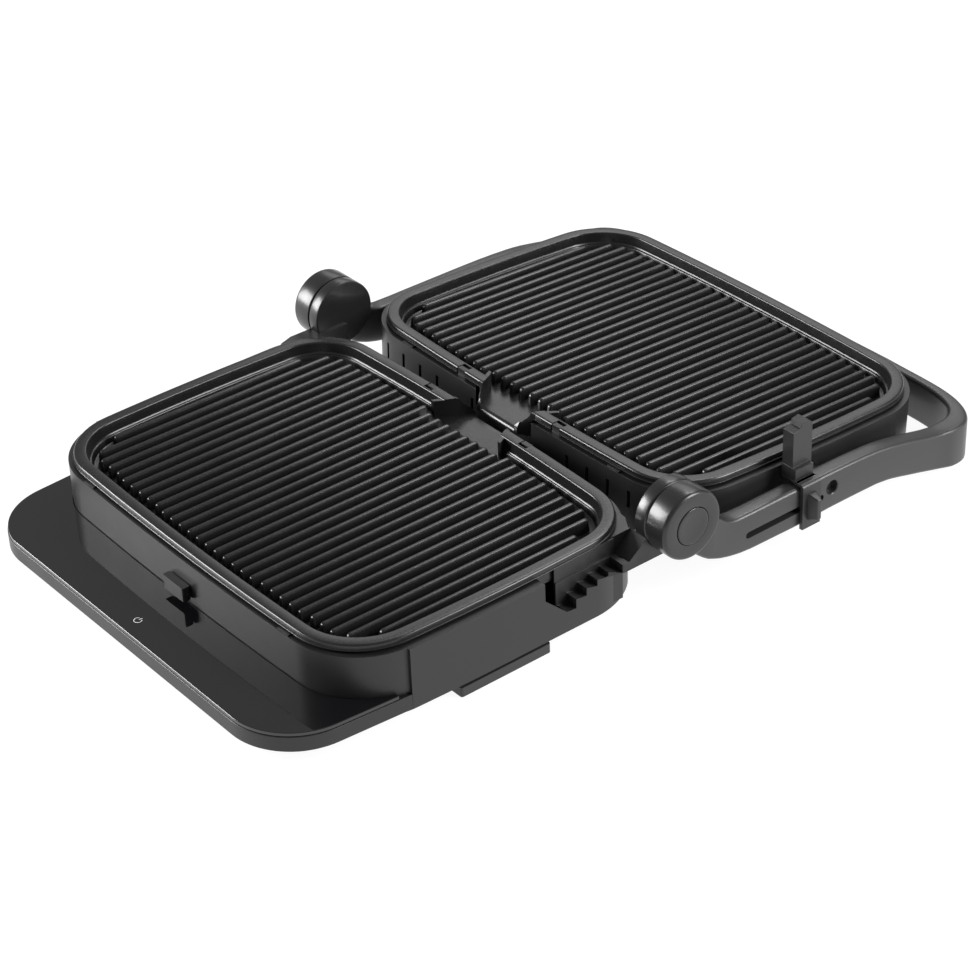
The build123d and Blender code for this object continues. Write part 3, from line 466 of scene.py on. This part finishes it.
def frame_mesh():
    outer_c = spline([(177.4, 165), (178.2, 218), (178.9, 236), (175.2, 249), (162, 259.3), (138, 265.2), (90, 267.2)], 24)
    inner_c = spline([(165.3, 165), (165.5, 215), (165.2, 234), (161.2, 246), (150, 253.6), (130, 257.8), (90, 259)], 24)
    N = 56
    oc, ic = resample(outer_c, N), resample(inner_c, N)
    arm_y = [12, 14, 16.2, 18, 20.2, 22, 24.2, 25.5, 28, 31, 32.5, 33.3, 34.2, 35.2, 37.4, 39, 40.7, 43, 45.5, 48, 50.4, 54, 62, 72, 84, 98, 112, 126, 140, 152]
    pairs = [((177.4, y), (165.3, y)) for y in arm_y]
    pairs += [(tuple(o), tuple(i)) for o, i in zip(oc, ic)]
    pairs += [((x, 267.2), (x, 259.0)) for x in (60, 30)]
    half = pairs
    full = half + [((-o[0], o[1]), (-i[0], i[1])) for o, i in reversed(half)]
    rings = []
    R = 2.6
    for o, i in full:
        o, i = np.array(o), np.array(i)
        w = np.linalg.norm(o - i)
        a = (o - i) / w
        to, ti = height(TOPS, o[1]), height(TOPS, i[1])
        lo, li = height(LOWS, o[1]), height(LOWS, i[1])
        r = min(R, w * 0.32)
        quad = [(0, li), (w, lo), (w, to), (0, ti)]
        ring = []
        for k in range(4):
            p0, p1, p2 = np.array(quad[k - 1]), np.array(quad[k]), np.array(quad[(k + 1) % 4])
            u, v = (p0 - p1) / np.linalg.norm(p0 - p1), (p2 - p1) / np.linalg.norm(p2 - p1)
            c = p1 + (u + v) * r
            for q in range(6):
                g = math.pi / 2 * q / 5
                pt = c - v * r * math.cos(g) - u * r * math.sin(g)
                ring.append(pt)
        rings.append([(i[0] + a[0] * q[0], i[1] + a[1] * q[0], q[1]) for q in ring])
    s = Shape().loft(rings)
    ob = new_object("lid_frame_bar", s.v, s.f, "frame_black", angle=28)
    # slot of the height slider
    pts = []
    for k in range(13):
        g = -math.pi / 2 + math.pi * k / 12
        pts.append((89.0 + 29.8 + 2.2 * math.cos(g), 27.8 + 2.2 * math.sin(g)))
    for k in range(13):
        g = math.pi / 2 + math.pi * k / 12
        pts.append((89.0 - 29.8 + 2.2 * math.cos(g), 27.8 + 2.2 * math.sin(g)))
    c = Shape().loft([[(160, y, z) for y, z in pts], [(186, y, z) for y, z in pts]])
    boolean(ob, new_object("c", c.v, c.f, "frame_black"))
    # pivot bores, widened at the outer face
    for m in (1, -1):
        c = revolve_x(Shape(), [(m * 160, 4.0), (m * 173.7, 4.0), (m * 173.7, 4.6), (m * 176.9, 4.6), (m * 178.0, 5.7)], 128.1, 31.6, n=48)
        boolean(ob, new_object("c", c.v, c.f, "frame_black"))
    resharpen(ob, 28)
    return ob


def drum_profile(x_in, x_out, m, r_button):
    """Drum with soft outer edge and a recess."""
    p = [(x_in, 4.2), (x_in, 21.4)]
    p += [(x_in + m * (0.8 - 0.8 * math.cos(a)), 21.4 + 0.8 * math.sin(a)) for a in (0.52, 1.05, 1.57)]
    p += [(x_out - m * 2.6, 22.2)]
    for k in range(1, 8):
        a = math.pi / 2 * k / 7
        p.append((x_out - m * (2.6 - 2.6 * math.sin(a)), 22.2 - 2.6 + 2.6 * math.cos(a)))
    p += [(x_out, r_button + 1.0), (x_out - m * 0.1, r_button + 0.45), (x_out - m * 0.5, r_button + 0.15), (x_out - m * 8.3, r_button + 0.15), (x_out - m * 8.3, 4.2)]
    return p


AY, AZ = 11.3, 57.25
bar = frame_mesh()
ds = Shape()
revolve_x(ds, drum_profile(164.7, 180.8, 1, 11.9), AY, AZ, closed=True)
revolve_x(ds, drum_profile(-164.7, -180.8, -1, 11.9), AY, AZ, closed=True)
drums = new_object("lid_frame_drums", ds.v, ds.f, "hinge_black", angle=30)
for ob in (bar, drums):
    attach(ob, "lid_frame")
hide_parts("handle_frame")
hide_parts("handle_frame")

bs = Shape()
revolve_x(bs, [(177.0, 11.85), (180.4, 11.85), (180.9, 11.75), (181.15, 11.4), (181.2, 10.9), (180.85, 8.0), (180.7, 4.0), (180.65, 0.02)], AY, AZ)
button = new_object("release_button_face", bs.v, bs.f, "hinge_black", angle=30)
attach(button, "release_button")
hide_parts("release_button")
cs = Shape()
revolve_x(cs, [(-172.5, 11.85), (-180.1, 11.85), (-180.55, 11.75), (-180.75, 11.4), (-180.8, 10.9), (-180.7, 6.0), (-180.65, 0.02)], AY, AZ)
cap = new_object("drum_cap_face", cs.v, cs.f, "hinge_black", angle=30)
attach(cap, "lid_frame")
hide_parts("drum_cap")

for side, m in (("right", 1), ("left", -1)):
    hs = Shape()
    p = [(m * 155.0, 0.02), (m * 155.0, 21.2)]
    p += [(m * (155.0 + 1.0 - 1.0 * math.cos(a)), 21.2 + 1.0 * math.sin(a)) for a in (0.52, 1.05, 1.57)]
    p += [(m * 162.7, 22.2)]
    p += [(m * (162.7 + 1.6 * math.sin(a)), 20.6 + 1.6 * math.cos(a)) for a in (0.4, 0.8, 1.2, 1.57)]
    p += [(m * 164.3, 0.02)]
    revolve_x(hs, p, AY, AZ)
    disc = new_object("hinge_disc_" + side + "_body", hs.v, hs.f, "hinge_black", angle=30)
    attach(disc, "base")
    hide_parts("hinge_disc_" + side)

# ------------------------------------------------------- power mark on the deck
ps = Shape()
mx, my = 2.1, -254.9
ring = []
for k in range(41):
    g = math.radians(125 + 290 * k / 40)
    ring.append([(mx + r * math.cos(g), my + r * math.sin(g), z) for r, z in ((2.15, 22.28), (2.6, 22.28), (2.6, 22.33), (2.15, 22.33))])
ps.loft(ring)
ps.loft([[(mx - 0.23, my + y, z) for y, z in ((0.6, 22.28), (3.0, 22.28), (3.0, 22.33), (0.6, 22.33))], [(mx + 0.23, my + y, z) for y, z in ((0.6, 22.28), (3.0, 22.28), (3.0, 22.33), (0.6, 22.33))]])
mark = new_object("power_mark", ps.v, ps.f, "ink_white")
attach(mark, "base")

# ------------------------------------------- carried-over parts: edges and finish
EDGE = {
    "lower_housing": 0.9, "upper_housing": 0.9, "control_deck": 0.8, "glass_panel": 0.45, "bottom_cover": 0.5,
    "upper_cover": 0.6, "foot_rails": 0.8, "height_rack": 0.35, "lower_latch": 0.8, "upper_latch": 0.8,
    "height_slider": 0.6, "slider_knob": 0.9, "drip_tray": 0.5, "pivot_pins": 0.4, "hinge_pins": 0.4,
    "cord_gland": 0.5, "rubber_feet": 0.5,
}
smooth = bpy.data.node_groups.new("smooth_by_angle", "GeometryNodeTree")
smooth.interface.new_socket("Geometry", in_out="INPUT", socket_type="NodeSocketGeometry")
smooth.interface.new_socket("Geometry", in_out="OUTPUT", socket_type="NodeSocketGeometry")
g_in = smooth.nodes.new("NodeGroupInput")
g_out = smooth.nodes.new("NodeGroupOutput")
g_ang = smooth.nodes.new("GeometryNodeInputMeshEdgeAngle")
g_cmp = smooth.nodes.new("FunctionNodeCompare")
g_cmp.data_type = "FLOAT"
g_cmp.operation = "LESS_EQUAL"
g_cmp.inputs[1].default_value = math.radians(30)
g_edge = smooth.nodes.new("GeometryNodeSetShadeSmooth")
g_edge.domain = "EDGE"
g_face = smooth.nodes.new("GeometryNodeSetShadeSmooth")
g_face.domain = "FACE"
smooth.links.new(g_in.outputs[0], g_edge.inputs["Geometry"])
smooth.links.new(g_ang.outputs[0], g_cmp.inputs[0])
smooth.links.new(g_cmp.outputs[0], g_edge.inputs["Shade Smooth"])
smooth.links.new(g_edge.outputs[0], g_face.inputs["Geometry"])
smooth.links.new(g_face.outputs[0], g_out.inputs[0])
for n, ob in nodes.items():
    if ob.hide_render:
        continue
    m = MATS[SLOT_OF[n]]
    if not ob.material_slots:
        ob.data.materials.append(m)
    for sl in ob.material_slots:
        sl.link = "OBJECT"
        sl.material = m
    if n in EDGE:
        w = ob.modifiers.new("weld", "WELD")
        w.merge_threshold = 0.00001
        ss = ob.modifiers.new("smooth", "NODES")
        ss.node_group = smooth
        bv = ob.modifiers.new("edge", "BEVEL")
        bv.width = EDGE[n] * MM
        bv.segments = 3
        bv.limit_method = "ANGLE"
        bv.angle_limit = math.radians(38)
        bv.harden_normals = True
        bv.use_clamp_overlap = True
